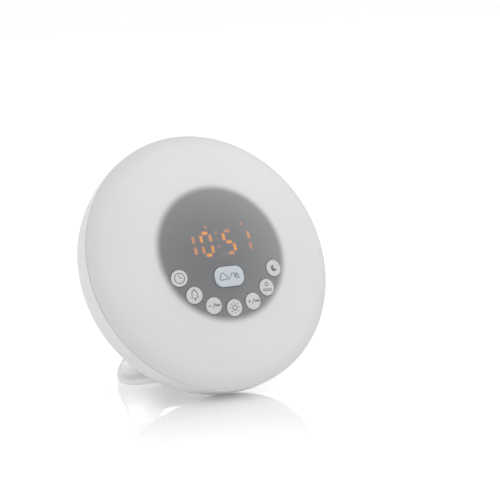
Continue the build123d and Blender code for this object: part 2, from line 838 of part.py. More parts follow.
# ---------------------------------------------------------------- inlet board and socket
inlet_board = block(
    inlet_board_x,
    inlet_board_x + board_thickness,
    -port_down - inlet_board_height / 2,
    -port_down + inlet_board_height / 2,
    inlet_low,
    inlet_low + inlet_board_depth,
)
save("inlet_board", inlet_board)
inner_width, inner_length = socket_width - 2 * socket_wall, socket_length - 2 * socket_wall
shell = extrude(RectangleRounded(socket_width, socket_length, socket_corner), socket_depth)
mouth = extrude(RectangleRounded(inner_width, inner_length, socket_corner - socket_wall), socket_depth)
shell -= Pos(0, 0, -socket_floor) * mouth
tongue = Box(tongue_thickness, tongue_length, socket_depth - socket_floor)
socket = shell + Pos(-tongue_thickness / 2, 0, (socket_depth + socket_floor) / 2) * tongue
save("usb_socket", Pos(inlet_x, -port_down, inlet_low - socket_sunk) * socket)

# ---------------------------------------------------------------- stand
half_plate = stand_thickness / 2
along_shoulder = Vector(0, cos(radians(shoulder_slope)), -sin(radians(shoulder_slope)))
off_shoulder = Vector(0, sin(radians(shoulder_slope)), cos(radians(shoulder_slope)))
strip_start = Vector(0, pivot_y, pivot_z) + off_shoulder * (knuckle_radius - half_plate)
shoulder = strip_start + along_shoulder * shoulder_length
heel_y = shoulder.Y + (shoulder.Z - half_plate) / tan(radians(plate_slope))
side_path = FilletPolyline(
    (strip_start.Y, strip_start.Z),
    (shoulder.Y, shoulder.Z),
    (heel_y, half_plate),
    (heel_y - lip_length, half_plate),
    radius=[shoulder_bend, heel_bend],
)
side_plane = Plane(origin=(0, 0, 0), x_dir=(0, 1, 0), z_dir=(1, 0, 0))
strip = extrude(side_plane * trace(side_path, stand_thickness), foot_half_width, both=True)
pivot_place = Pos(0, pivot_y, pivot_z) * Rot(0, 90, 0)
strip += pivot_place * Cylinder(knuckle_radius, 2 * foot_half_width)

# Seen from behind: arms that widen into the foot, with a window between them
arm_foot = pivot_z - knuckle_radius
arm_end = pivot_z + knuckle_radius + past
outline = Polyline(
    (-foot_half_width, 0),
    (foot_half_width, 0),
    (arm_outer, arm_foot),
    (arm_outer, arm_end),
    (-arm_outer, arm_end),
    (-arm_outer, arm_foot),
    close=True,
)
window = Polyline(
    (-window_half_width, window_bottom),
    (window_half_width, window_bottom),
    (arm_inner, arm_foot),
    (arm_inner, arm_end + past),
    (-arm_inner, arm_end + past),
    (-arm_inner, arm_foot),
    close=True,
)
window_outline = fillet(make_face(window).vertices().group_by(Axis.Y)[0], window_corner)
through = 2 * rim_radius
stand = strip & extrude(Plane.XZ * make_face(outline), through, both=True)
stand -= extrude(Plane.XZ * window_outline, through, both=True)
lip_edges = stand.edges().filter_by(lambda edge: edge.center().Z < stand_thickness).group_by(Axis.Y)[0]
stand = fillet(lip_edges.filter_by(lambda edge: edge.length < 2 * stand_thickness), lip_corner)
stand -= pivot_place * Cylinder(pin_diameter / 2 + pin_running_gap, 2 * foot_half_width)
save("stand", stand, at=Pos(0, 0, 0))
save("hinge_pins", group([cross_pin(pin_diameter / 2, side) for side in (-1, 1)]))

# ---------------------------------------------------------------- middle of the whole clock over the origin
boxes = [piece.bounding_box() for piece in saved.values()]
front_y = min(box.min.Y for box in boxes)
back_y = max(box.max.Y for box in boxes)
centring = Pos(0, -(front_y + back_y) / 2, 0)
for name, piece in saved.items():
    placed = centring * piece
    placed.label = name
    export_step(placed, f"parts/{name}.step")
print("middle of the rim", (centring * face).position)
print("stand pivot", (centring * Pos(0, pivot_y, pivot_z)).position)
print("door beads", [(centring * face * Pos(bead)).position for bead in beads])
print("inlet", (centring * face * Pos(inlet_x, -port_down, back_level(hypot(port_left, port_down)))).position)
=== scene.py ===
# %% [markdown]
# # A sunrise alarm clock
# The clock is a shallow white dish that leans back on a bent stand. A milky dome closes its face, with
# a display and a ring of lamps behind it and eight push buttons that come through it. The solids come
# from a CAD model with its joints, so this lesson imports them first and then gives each its finish.

# %% Load the solids
from math import cos, hypot, pi, radians, sin, sqrt

import bmesh
import bpy
from mathutils import Matrix, Vector


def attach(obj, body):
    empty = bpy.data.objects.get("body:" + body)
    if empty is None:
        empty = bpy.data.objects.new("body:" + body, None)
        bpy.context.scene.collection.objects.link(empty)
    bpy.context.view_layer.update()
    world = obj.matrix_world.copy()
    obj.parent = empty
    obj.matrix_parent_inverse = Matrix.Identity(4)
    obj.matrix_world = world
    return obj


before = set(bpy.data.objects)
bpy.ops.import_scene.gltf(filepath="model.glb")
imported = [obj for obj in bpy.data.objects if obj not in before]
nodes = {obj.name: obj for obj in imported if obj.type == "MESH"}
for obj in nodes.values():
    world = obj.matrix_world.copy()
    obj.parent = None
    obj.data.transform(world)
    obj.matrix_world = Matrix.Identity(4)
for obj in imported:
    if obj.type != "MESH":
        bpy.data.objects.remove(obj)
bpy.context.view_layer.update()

# %% [markdown]
# ## The face's own axes
# Buttons, symbols and digits are all laid out on the face, which leans back. Slanted places are hard
# to work out by hand. So they are given as distances across the face, up the face and out of it, and
# one matrix turns them into world places. Its origin is the middle of the rim.

# %% Axes of the face
MM = 0.001
LEAN = radians(25)
FACE_TURN = pi / 2 - LEAN
RIM_MIDDLE = Vector((0, -6.349, 85.242)) * MM
FACE = Matrix.Translation(RIM_MIDDLE) @ Matrix.Rotation(FACE_TURN, 4, "X")
print("the face points to", [round(x, 3) for x in FACE.to_3x3() @ Vector((0, 0, 1))])

# %% [markdown]
# ## A short way to write node trees
# Every finish here is a node tree, and so are the table and the room. Each node takes several lines to
# make, set and link, so a small helper does all three in one call. Patterns read Object coordinates:
# an object's origin stays at the world's origin, so a pattern keeps its place on the piece.

# %% Node helper


class Wiring:
    """A node tree under construction."""

    def __init__(self, tree):
        self.tree = tree

    def put(self, value, socket):
        """Link a node's output to a socket, or give the socket a fixed value."""
        if isinstance(value, bpy.types.NodeSocket):
            self.tree.links.new(value, socket)
        else:
            socket.default_value = value

    def node(self, kind, settings=None, **inputs):
        """A new node. Inputs go by their names, with underscores, or by number: i0, i1 and so on."""
        made = self.tree.nodes.new("ShaderNode" + kind)
        for name, value in (settings or {}).items():
            setattr(made, name, value)
        for name, value in inputs.items():
            by_number = name[0] == "i" and name[1:].isdigit()
            key = int(name[1:]) if by_number else name.replace("_", " ")
            self.put(value, made.inputs[key])
        return made

    def math(self, operation, a, b=0.0, c=0.0):
        return self.node("Math", {"operation": operation}, i0=a, i1=b, i2=c).outputs[0]

    def vector(self, operation, a, b=(0, 0, 0)):
        made = self.node("VectorMath", {"operation": operation}, i0=a, i1=b)
        return made.outputs["Value" if operation == "LENGTH" else "Vector"]

    def parts(self, vector):
        """The X, Y and Z of a vector."""
        return self.node("SeparateXYZ", Vector=vector).outputs

    def ramp(self, value, low, high, out_low=0.0, out_high=1.0, kind="SMOOTHSTEP"):
        """A way from out_low to out_high, smooth or straight, while the value goes from low to high."""
        ends = {"From_Min": low, "From_Max": high, "To_Min": out_low, "To_Max": out_high}
        return self.node("MapRange", {"interpolation_type": kind}, Value=value, **ends).outputs[0]

    def mix(self, share, a, b):
        """Colour a where share is 0 and colour b where it is 1."""
        return self.node("Mix", {"data_type": "RGBA"}, i0=share, i6=a, i7=b).outputs[2]

    def place(self):
        return self.node("TexCoord").outputs["Object"]


print("helper for node trees ready")

# %% [markdown]
# ## A short way to write materials
# Each finish of the clock feeds one Principled BSDF, so the helper grows into one for materials. It
# knows the face's axes, how to make noise of a given size and how to give a surface a fine relief.

# %% Material helper


class Finish(Wiring):
    """A material under construction: a principled shader and the nodes that feed it."""

    def __init__(self, name, **sockets):
        self.material = bpy.data.materials.new(name)
        self.material.use_nodes = True
        super().__init__(self.material.node_tree)
        self.shader = self.tree.nodes["Principled BSDF"]
        self.set(**sockets)

    def set(self, **sockets):
        """Links or fixed values for the shader's sockets, named like them with underscores."""
        for name, value in sockets.items():
            self.put(value, self.shader.inputs[name.replace("_", " ")])

    def on_face(self, vector=None, middle=RIM_MIDDLE):
        """Place, or another vector, on the face: across it, up it and out of it."""
        vector = vector or self.place()
        frame_of_face = {"Location": middle, "Rotation": (FACE_TURN, 0, 0)}
        made = self.node("Mapping", {"vector_type": "TEXTURE"}, Vector=vector, **frame_of_face)
        return made.outputs[0]

    def flat(self, on_face):
        """A place on the face without its distance out of the face."""
        return self.vector("MULTIPLY", on_face, (1, 1, 0))

    def noise(self, size, detail=3.0):
        """Noise whose blobs are about size metres across."""
        return self.node("TexNoise", Vector=self.place(), Scale=1 / size, Detail=detail).outputs[0]

    def grain(self, size, depth):
        """Fine relief on the surface, depth metres high."""
        bump = self.node("Bump", Strength=1.0, Distance=depth, Height=self.noise(size))
        self.set(Normal=bump.outputs[0])


def rgb(red, green, blue):
    """A colour from 0 to 255 values as a screen shows it."""
    shown = [value / 255 for value in (red, green, blue)]
    return (*(((c + 0.055) / 1.055) ** 2.4 if c > 0.04045 else c / 12.92 for c in shown), 1)


def shade(colour, factor):
    """The same colour, darker or lighter."""
    return (*(min(part * factor, 1) for part in colour[:3]), 1)


print("helper for materials ready; mid grey is", round(rgb(128, 128, 128)[0], 3))

# %% [markdown]
# ## Moulded plastic
# Casing, stand and caps are injection moulded. Real mouldings are never one flat colour: the tool's
# spark texture breaks the gloss up, and the colour drifts a little with the wall's thickness. Both are
# cheap to make with noise, a broad one for colour and gloss and a very fine one for the relief.

# %% Moulded plastic
DRIFT_SIZE = 50 * MM
GLOSS_SIZE = 12 * MM
SPARK_SIZE = 0.35 * MM
SPARK_DEPTH = 0.008 * MM
NOISE_MOST = (0.2, 0.8)  # nearly all values of the noise lie between these
NOISE_MIDDLE = (0.3, 0.7)
GLOSS_DRIFT = 0.1


def moulded(name, colour, roughness, drift=0.03, grain=SPARK_SIZE, depth=SPARK_DEPTH):
    """Plastic, lacquer, foam or paper whose colour drifts by a share of itself."""
    made = Finish(name, IOR=1.5)
    broad = made.ramp(made.noise(DRIFT_SIZE, detail=2.0), *NOISE_MIDDLE)
    ends = (roughness * (1 - GLOSS_DRIFT), roughness * (1 + GLOSS_DRIFT))
    gloss = made.ramp(made.noise(GLOSS_SIZE), *NOISE_MOST, *ends)
    made.set(Base_Color=made.mix(broad, shade(colour, 1 - drift), shade(colour, 1 + drift)))
    made.set(Roughness=gloss)
    made.grain(grain, depth)
    return made


def white_moulding(name):
    """The even white of casing, stand, battery door and grille."""
    return moulded(name, rgb(232, 232, 231), 0.36, drift=0.012)


finishes = {
    "casing": white_moulding("white moulding"),
    "cap": moulded("button plastic", rgb(213, 212, 211), 0.42, grain=0.2 * MM),
    "snooze": moulded("snooze button plastic", rgb(204, 212, 218), 0.42, grain=0.2 * MM),
    "mask": moulded("grey mask", rgb(132, 132, 135), 0.5),
    "print": moulded("grey print", rgb(106, 107, 110), 0.5),
    "black": moulded("black plastic", rgb(28, 28, 30), 0.4),
    "inner": moulded("matt white plastic", rgb(226, 226, 222), 0.6),
    "board": moulded("green lacquered board", rgb(36, 92, 58), 0.35),
    "white board": moulded("white lacquered board", rgb(225, 226, 222), 0.35),
    "lamp": moulded("lamp lens", rgb(240, 220, 150), 0.2),
    "amber": moulded("amber segment", rgb(250, 160, 70), 0.35),
    "foam": moulded("foam gasket", rgb(48, 48, 48), 0.95, grain=0.8 * MM, depth=0.1 * MM),
    "paper": moulded("pressed paper cone", rgb(40, 38, 36), 0.85, grain=0.6 * MM, depth=0.06 * MM),
    "ferrite": moulded("ferrite", rgb(58, 58, 60), 0.7, grain=0.5 * MM, depth=0.02 * MM),
}
print("moulded finishes:", len(finishes))

# %% [markdown]
# ## Plated steel
# Screws, pins, springs, contacts and the power inlet are plated steel. Plating is bright all over, so
# what makes it look real is wear: faint stains in its colour and fine scuffs in its gloss, both made
# with noise.

# %% Plated steel
STEEL = rgb(190, 190, 192)
STAIN_SIZE, STAIN_SHADE = 4 * MM, 0.9
SCUFF_SIZE, SCUFF_GLOSS = 1 * MM, (0.24, 0.375)
STEEL_GRAIN, STEEL_DEPTH = 0.5 * MM, 0.004 * MM


def steel_finish():
    made = Finish("plated steel", Metallic=1.0)
    stains = made.mix(made.noise(STAIN_SIZE), shade(STEEL, STAIN_SHADE), STEEL)
    scuffs = made.ramp(made.noise(SCUFF_SIZE), *NOISE_MOST, *SCUFF_GLOSS)
    made.set(Base_Color=stains, Roughness=scuffs)
    made.grain(STEEL_GRAIN, STEEL_DEPTH)
    return made


finishes["steel"] = steel_finish()
print("steel roughness:", SCUFF_GLOSS[0], "to", SCUFF_GLOSS[1])

# %% [markdown]
# ## Painted light in the groove, painted shade in the grille
# A narrow groove runs between dome and rim, and the dome's milky edge lets light into it. The holes of
# the grille do the opposite: they lead into the closed space of the speaker, so their walls look
# darker than the white round them. Light that soaks through plastic would take long renders, so both
# are painted: a faint glow of the casing in the groove, and a painted shade on the walls of the holes.
# Each finish finds its spot by itself, from the distance to the face's axis and from the level or the
# way the surface faces.

# %% Casing with a painted glow in the groove
GLOW_FROM_LEVEL, GLOW_FULL_LEVEL = -0.5 * MM, -0.05 * MM
GLOW_FROM_RADIUS, GLOW_FULL_RADIUS = 86.9 * MM, 86.3 * MM
PAINTED_GROOVE_GLOW = 0.16


def casing_with_painted_glow():
    """White moulding with a painted glow beside the dome's edge, a faint emission that stands in for
    light let through the dome.
    """
    made = white_moulding("white casing with painted groove glow")
    on_face = made.on_face()
    high = made.ramp(made.parts(on_face)["Z"], GLOW_FROM_LEVEL, GLOW_FULL_LEVEL)
    from_axis = made.vector("LENGTH", made.flat(on_face))
    inside = made.ramp(from_axis, GLOW_FROM_RADIUS, GLOW_FULL_RADIUS)
    # painted light: the casing's own glow stands in for light let through the dome's edge into the
    # groove
    glow = made.math("MULTIPLY", made.math("MULTIPLY", high, inside), PAINTED_GROOVE_GLOW)
    made.set(Emission_Color=(1, 1, 1, 1), Emission_Strength=glow)
    return made


finishes["groove"] = casing_with_painted_glow()
print("the groove glows inside a radius of", round(GLOW_FROM_RADIUS / MM, 1), "mm")

# %% Grille with painted shade in its holes
HOLES_END, HOLES_INSIDE = 22.9 * MM, 22.5 * MM
FACING_OUT, FACING_ASIDE = 0.8, 0.4
PAINTED_HOLE_SHADE = rgb(96, 96, 98)


def grille_with_painted_shade():
    """White moulding with painted shade on the walls of its holes, which lead into the speaker's space.
    """
    made = white_moulding("white grille with painted hole shade")
    normal = made.on_face(made.node("TexCoord").outputs["Normal"], middle=(0, 0, 0))
    along_axis = made.math("ABSOLUTE", made.parts(normal)["Z"])
    aside = made.ramp(along_axis, FACING_OUT, FACING_ASIDE)
    from_axis = made.vector("LENGTH", made.flat(made.on_face()))
    inside = made.ramp(from_axis, HOLES_END, HOLES_INSIDE)
    white = made.shader.inputs["Base Color"].links[0].from_socket
    # painted shade: the walls of the holes turn darker in colour where shade would fall in them
    made.set(Base_Color=made.mix(made.math("MULTIPLY", aside, inside), white, PAINTED_HOLE_SHADE))
    return made


finishes["grille"] = grille_with_painted_shade()
print("the grille's holes end at a radius of", round(HOLES_END / MM, 1), "mm")

# %% [markdown]
# ## The milky dome
# Light spreads sideways in the dome, so the grey mask behind it shows as a disc with a soft edge, and
# the lit segments show as soft bars. Real scattering would need long renders, so the dome's colour
# carries that blurred picture instead. A distance from the face's axis makes the grey disc, and each
# lit bar is a distance to a short line. Both pass through a smooth step as wide as the blur.

# %% Lit bar group
BAR_BLUR = 1.9 * MM
BAR_INPUTS = {"Place": "Vector", "Centre": "Vector", "Half size": "Vector", "Strength": "Float"}


def lit_bar_group():
    """Node group: a bar's strength in its middle and 0 beyond its soft edge."""
    group = bpy.data.node_groups.new("lit bar", "ShaderNodeTree")
    for name, kind in BAR_INPUTS.items():
        group.interface.new_socket(name, in_out="INPUT", socket_type="NodeSocket" + kind)
    group.interface.new_socket("Glow", in_out="OUTPUT", socket_type="NodeSocketFloat")
    wiring = Wiring(group)
    given = group.nodes.new("NodeGroupInput").outputs
    aside = wiring.vector("ABSOLUTE", wiring.vector("SUBTRACT", given["Place"], given["Centre"]))
    beyond = wiring.vector("MAXIMUM", wiring.vector("SUBTRACT", aside, given["Half size"]))
    glow = wiring.ramp(wiring.vector("LENGTH", beyond), 0.0, BAR_BLUR, given["Strength"], 0.0)
    wiring.put(glow, group.nodes.new("NodeGroupOutput").inputs["Glow"])
    return group


lit_bar = lit_bar_group()
print("group inputs:", ", ".join(BAR_INPUTS))

# %% [markdown]
# ## The time
# The display shows a time in four digits of seven segments, with a few small dots between and above
# them. Each digit is a row of a table that names its lit segments and how bright each one looks
# through the dome. A table is easier to change than a drawing: another time is only other names.

# %% Which segments are lit
UPRIGHT = (0.02, 1.5)  # half the width and half the height of a bar's middle, in millimetres
LEVEL = (1.1, 0.02)
DOT = (0.05, 0.05)
SEGMENTS = {
    "top": (0, 1, LEVEL),
    "middle": (0, 0, LEVEL),
    "bottom": (0, -1, LEVEL),
    "upper left": (-1, 0.5, UPRIGHT),
    "lower left": (-1, -0.5, UPRIGHT),
    "upper right": (1, 0.5, UPRIGHT),
    "lower right": (1, -0.5, UPRIGHT),
}
DIGITS_ACROSS = (-21.35, -9.15, 7.15, 19.35)
DIGITS_UP = 6.6
DIGIT_HALF_WIDTH = 3.3
DIGIT_HALF_HEIGHT = 7.5
LIT = [
    {"upper right": 0.6, "lower right": 0.7},
    {
        "top": 1.0,
        "upper left": 0.95,
        "upper right": 0.78,
        "lower left": 0.66,
        "lower right": 0.88,
        "bottom": 1.0,
    },
    {"top": 0.66, "upper left": 0.98, "middle": 0.98, "lower right": 0.98, "bottom": 0.72},
    {"upper right": 0.74, "lower right": 0.5},
]
# Each dot: its place across and up the face, in millimetres, and how bright it looks.
DOTS = [(-7.6, 18.1, 0.5), (-1.2, 13.8, 0.36), (-0.9, 9.4, 0.2), (-1.1, 4.3, 0.34), (19.6, 18.4, 0.42)]

bars = [(across, up, DOT, strength) for across, up, strength in DOTS]
for middle, lit_segments in zip(DIGITS_ACROSS, LIT):
    for segment, strength in lit_segments.items():
        side, height, half_size = SEGMENTS[segment]
        across = middle + side * DIGIT_HALF_WIDTH
        up = DIGITS_UP + height * DIGIT_HALF_HEIGHT
        bars.append((across, up, half_size, strength))
print("lit segments and dots:", len(bars))

# %% [markdown]
# ## From milk, disc and bars to one colour
# The dome's white is a little warmer close to the disc, which is a painted warm glow, and a little
# darker at its edge, which is painted shade. The disc's grey gets lighter to the right, towards the top
# and outwards, as light from the room reaches the mask unevenly. The display lies deeper than the
# dome's surface, so its bars are drawn where they show from the front left.

# %% White of the dome
MASK_RADIUS = 45.3 * MM
MILK_DARKER, MILK_LIGHTER = rgb(227, 227, 227), rgb(230, 230, 230)
# the painted warm glow round the disc and the painted shade at the dome's edge
PAINTED_WARM_GLOW, PAINTED_EDGE_SHADE = rgb(218, 215, 210), rgb(212, 212, 211)
MILK_DRIFT_SIZE = 60 * MM
WARM_REACH, WARM_SHARE = 12 * MM, 0.2
DARK_FROM, DOME_EDGE, DARK_SHARE = 76 * MM, 86.8 * MM, 0.5


def dome_milk(made, from_axis):
    """The dome's white with its painted warm glow and painted edge shade, without disc and bars."""
    drift = made.ramp(made.noise(MILK_DRIFT_SIZE, detail=1.0), *NOISE_MIDDLE)
    milk = made.mix(drift, MILK_DARKER, MILK_LIGHTER)
    # painted light: a warm glow on the dome round the disc
    warm = made.ramp(from_axis, MASK_RADIUS + WARM_REACH, MASK_RADIUS, 0.0, WARM_SHARE)
    milk = made.mix(warm, milk, PAINTED_WARM_GLOW)
    # painted shade: the dome darkens towards its edge
    dark = made.ramp(from_axis, DARK_FROM, DOME_EDGE, 0.0, DARK_SHARE)
    return made.mix(dark, milk, PAINTED_EDGE_SHADE)


print("the dome is warmer up to a radius of", round((MASK_RADIUS + WARM_REACH) / MM, 1), "mm")

# %% Grey of the disc
GREY_DARKER, GREY_LIGHTER = rgb(114, 115, 118), rgb(156, 156, 156)
GREY_MIDDLE = 0.106  # share of the lighter grey in the disc's middle
GREY_ACROSS, GREY_UP = 5.15, 2.87  # what the share gains per metre
GREY_OUTWARD = 231.0  # what the share gains per square metre of distance from the axis


def disc_grey(made, on_face, from_axis):
    """The mask's grey as it shows through the dome."""
    apart = made.parts(on_face)
    share = made.math("MULTIPLY_ADD", apart["X"], GREY_ACROSS, GREY_MIDDLE)
    share = made.math("MULTIPLY_ADD", apart["Y"], GREY_UP, share)
    squared = made.math("MULTIPLY", from_axis, from_axis)
    share = made.math("MULTIPLY_ADD", squared, GREY_OUTWARD, share)
    return made.mix(share, GREY_DARKER, GREY_LIGHTER)


print("share of the lighter grey in the disc's middle:", GREY_MIDDLE)

# %% Glow of the bars
SEEN_LEFT, SEEN_LOWER = 1.5, 0.75  # millimetres, for a look from the front left


def time_glow(made, flat):
    """1 in the brightest bars and 0 beside all of them."""
    glow = 0.0
    for across, up, half_size, strength in bars:
        inputs = {
            "Place": flat,
            "Centre": ((across - SEEN_LEFT) * MM, (up - SEEN_LOWER) * MM, 0),
            "Half_size": (half_size[0] * MM, half_size[1] * MM, 1),
            "Strength": strength,
        }
        bar = made.node("Group", {"node_tree": lit_bar}, **inputs)
        glow = made.math("MAXIMUM", glow, bar.outputs["Glow"])
    return glow


print("bars are drawn", SEEN_LEFT, "mm left of the display's and", SEEN_LOWER, "mm below them")

# %% Dome finish
MASK_BLUR = 3.2 * MM
AMBER_DIM, AMBER_BRIGHT = rgb(232, 146, 128), rgb(255, 178, 80)
DOME_GRAIN, DOME_GRAIN_DEPTH = 1.2 * MM, 0.004 * MM


def dome_finish():
    made = Finish("milky dome", IOR=1.49, Roughness=0.42)
    on_face = made.on_face()
    flat = made.flat(on_face)
    from_axis = made.vector("LENGTH", flat)
    disc = made.ramp(from_axis, MASK_RADIUS + MASK_BLUR, MASK_RADIUS - MASK_BLUR)
    colour = made.mix(disc, dome_milk(made, from_axis), disc_grey(made, on_face, from_axis))
    glow = time_glow(made, flat)
    amber = made.mix(glow, AMBER_DIM, AMBER_BRIGHT)
    made.set(Base_Color=made.mix(glow, colour, amber))
    made.grain(DOME_GRAIN, DOME_GRAIN_DEPTH)
    return made


finishes["dome"] = dome_finish()
print("nodes in the dome's finish:", len(finishes["dome"].tree.nodes))

# %% [markdown]
# ## Finish every solid
# The solids keep their shapes. Each one only gets the material of what it is made of, so one table of
# names is the clearest way to write it.

# %% Dress the solids
FINISH_OF = {
    "dome": ["front_diffuser"],
    "groove": ["rear_casing"],
    "grille": ["speaker_grille"],
    "casing": ["battery_door", "stand"],
    "cap": [
        "button_clock",
        "button_alarm",
        "button_minus",
        "button_light",
        "button_plus",
        "button_mode",
        "button_sleep",
    ],
    "snooze": ["button_snooze"],
    "mask": ["display_mask"],
    "black": ["display_module", "tact_switches", "speaker_frame"],
    "amber": ["display_digits"],
    "inner": ["reflector", "battery_tray"],
    "board": ["main_board", "inlet_board"],
    "white board": ["light_board"],
    "lamp": ["light_leds"],
    "foam": ["speaker_gasket"],
    "paper": ["speaker_cone"],
    "ferrite": ["speaker_magnet"],
    "steel": [
        "hinge_pins",
        "board_screws",
        "mask_screws",
        "reflector_screws",
        "speaker_screws",
        "usb_socket",
        "battery_contacts",
        "battery_springs",
    ],
}
for finish, names in FINISH_OF.items():
    for name in names:
        nodes[name].data.materials.clear()
        nodes[name].data.materials.append(finishes[finish].material)
print("dressed:", sum(len(names) for names in FINISH_OF.values()), "of", len(nodes))

# %% [markdown]
# ## Printed symbols
# Each cap has a small grey symbol. A printed line is a thin raised stroke, so a curve with a round
# section makes it. It becomes a mesh, is pressed flat and is laid on the cap's crowned top, which
# follows the dome. The symbols are plain ones: a clock, a bell, minus with a mark for back, a sun,
# plus with a mark for on, a ring over four squares, a moon, and a cloud beside sound bars.

# %% Symbol helpers
DOME_HEIGHT = 23.6
CROWN_RADIUS = 243.0
PRINT_HALF_WIDTH = 0.29
PRINT_HEIGHT = 0.05
SAME_POINT = 1e-6


def crown_level(x, y):
    """How far the dome's crown stands out of the rim plane, in millimetres."""
    return DOME_HEIGHT - CROWN_RADIUS + sqrt(CROWN_RADIUS**2 - x**2 - y**2)


def stroke_mesh(name, strokes, half_width):
    """Round rods along strokes, which are lists of points in millimetres."""
    curve = bpy.data.curves.new(name, "CURVE")
    curve.dimensions = "3D"
    curve.bevel_depth = half_width
    curve.bevel_resolution = 2
    curve.use_fill_caps = True
    for points in strokes:
        (x0, y0), (x1, y1) = points[0], points[-1]
        closed = hypot(x0 - x1, y0 - y1) < SAME_POINT
        kept = points[:-1] if closed else points
        spline = curve.splines.new("POLY")
        spline.points.add(len(kept) - 1)
        for target, (x, y) in zip(spline.points, kept):
            target.co = (x, y, 0, 1)
        spline.use_cyclic_u = closed
    rods = bpy.data.objects.new(name, curve)
    bpy.context.collection.objects.link(rods)
    bpy.context.view_layer.update()
    shaped = rods.evaluated_get(bpy.context.evaluated_depsgraph_get())
    mesh = bpy.data.meshes.new_from_object(shaped)
    bpy.data.objects.remove(rods)
    bpy.data.curves.remove(curve)
    return mesh


def print_symbol(name, strokes, centre, proud, body, half_width=PRINT_HALF_WIDTH):
    """Lay strokes, drawn round a centre on the face, on a cap that stands proud of the dome."""
    mesh = stroke_mesh(name, strokes, half_width)
    for vertex in mesh.vertices:
        x, y = vertex.co.x + centre[0], vertex.co.y + centre[1]
        level = crown_level(x, y) + proud + vertex.co.z * PRINT_HEIGHT / half_width
        vertex.co = FACE @ (Vector((x, y, level)) * MM)
    mesh.materials.clear()
    mesh.materials.append(finishes["print"].material)
    symbol = bpy.data.objects.new(name, mesh)
    bpy.context.collection.objects.link(symbol)
    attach(symbol, body)


print("symbol strokes are", 2 * PRINT_HALF_WIDTH, "mm wide")

# %% Strokes of the symbols


def arc(x, y, radius, start=0.0, turn=360.0, steps=28):
    """Points on an arc round x and y, with its angles in degrees."""
    angles = [radians(start + turn * i / steps) for i in range(steps + 1)]
    return [(x + radius * cos(a), y + radius * sin(a)) for a in angles]


def spokes(inner, outer, count):
    """Short strokes that point outwards."""
    turns = [radians(360 * i / count) for i in range(count)]
    return [[(inner * cos(a), inner * sin(a)), (outer * cos(a), outer * sin(a))] for a in turns]


def filled(first, second, layers):
    """Strokes side by side between two lines of equally many points."""
    shares = [i / (layers - 1) for i in range(layers)]
    pairs = list(zip(first, second))
    return [[(a + (c - a) * t, b + (d - b) * t) for (a, b), (c, d) in pairs] for t in shares]


def skip_mark(x, towards):
    """Two filled arrowheads and a bar, pointing left or right."""
    bar_at = x + towards * 1.62
    marks = [[(bar_at, -0.95), (bar_at, 0.95)]]
    for shift in (-1.45, 0.05):
        back_at = x + towards * shift
        point = (x + towards * (shift + 1.3), 0)
        for half in (0.3, 0.85):
            marks.append([(back_at, -half), point, (back_at, half), (back_at, -half)])
    return marks


bell_cap = arc(0, 1.3, 1.75, 175, -170, 12)
bell = [(-2.5, -1.75), (-1.9, -0.9)] + bell_cap + [(1.9, -0.9), (2.5, -1.75), (-2.5, -1.75)]
dash = [(-4.0, 0), (-2.1, 0)]
upright = [(-3.05, -0.95), (-3.05, 0.95)]
slash = [(-0.9, -1.6), (0.7, 1.6)]
crescent = filled(arc(0, 0, 1.9, 100, 250, 20), arc(0.85, 0.5, 1.46, 128, 194, 20), 5)
squares = [
    [(x - 0.55, -2.4), (x - 0.55, -1.2), (x + 0.55, -1.2), (x + 0.55, -2.4), (x - 0.55, -2.4)]
    for x in (-2.7, -0.9, 0.9, 2.7)
]
SYMBOLS = {
    "clock": [arc(0, 0, 3.35), [(0, 2.2), (0, 0), (2.0, 0)]],
    "alarm": [bell, arc(0, -2.65, 0.5, 0, 360, 10), arc(0, 3.45, 0.3, 0, 360, 10)],
    "minus": [dash, slash] + skip_mark(2.7, -1),
    "light": [arc(0, 0, 1.5)] + spokes(2.6, 3.6, 8),
    "plus": [dash, upright, slash] + skip_mark(2.7, 1),
    "mode": [arc(0, 1.9, 1.15)] + squares,
    "sleep": crescent,
}
print("strokes:", {name: len(strokes) for name, strokes in SYMBOLS.items()})

# %% Symbols of the round buttons
CAP_PROUD = 0.9
RING_RADIUS = 37.6
FIRST_ANGLE, STEP_ANGLE = -157.6575, 22.5525
for index, (name, strokes) in enumerate(SYMBOLS.items()):
    angle = radians(FIRST_ANGLE + index * STEP_ANGLE)
    centre = (RING_RADIUS * cos(angle), RING_RADIUS * sin(angle))
    print_symbol("symbol_" + name, strokes, centre, CAP_PROUD, "button_" + name)
print("symbols:", ", ".join(SYMBOLS))

# %% Symbol of the snooze button
SNOOZE_MIDDLE = (0, -17.1)
SNOOZE_PROUD = 1.1
SNOOZE_HALF_WIDTH = 0.27
cloud = (
    arc(-6.1, -0.9, 1.2, 270, -180, 10)
    + arc(-4.7, 0.7, 1.7, 170, -130, 12)
    + arc(-2.9, -0.7, 1.3, 80, -150, 10)
    + [(-6.1, -2.1)]
)
snooze_strokes = [
    cloud,
    [(-0.9, -2.2), (2.4, 2.4)],
    [(3.4, -1.1), (3.4, 2.1)],
    [(3.4, 2.1), (4.4, 0.4), (5.4, 2.1)],
    [(4.4, 0.4), (4.4, -1.9)],
    [(5.4, -1.9), (5.4, 2.1)],
    [(6.6, -2.1), (6.6, 1.4)],
]
print_symbol(
    "symbol_snooze", snooze_strokes, SNOOZE_MIDDLE, SNOOZE_PROUD, "button_snooze", SNOOZE_HALF_WIDTH
)
print("snooze strokes:", len(snooze_strokes))

# %% [markdown]
# ## The table
# The clock stands on a white glossy table that has no visible end. A white surface that is only lit
# turns out greyer than the room behind it, so this one is a diffuse white with a little light of its
# own that only the camera sees, and it still takes a shadow. A thin mirror over it reflects the clock.
# The mirror is strong under the clock and weak further out, so the far part of the table stays as even
# as the room.

# %% Table
TABLE_HALF = 3.0
TABLE_WHITE = (0.9, 0.9, 0.9, 1)
TABLE_GLOW = 0.4
MIRROR_ROUGHNESS = 0.05
MIRROR_NEAR, MIRROR_FAR = 0.04, 0.26
MIRROR_STRONG, MIRROR_WEAK = 0.6, 0.12


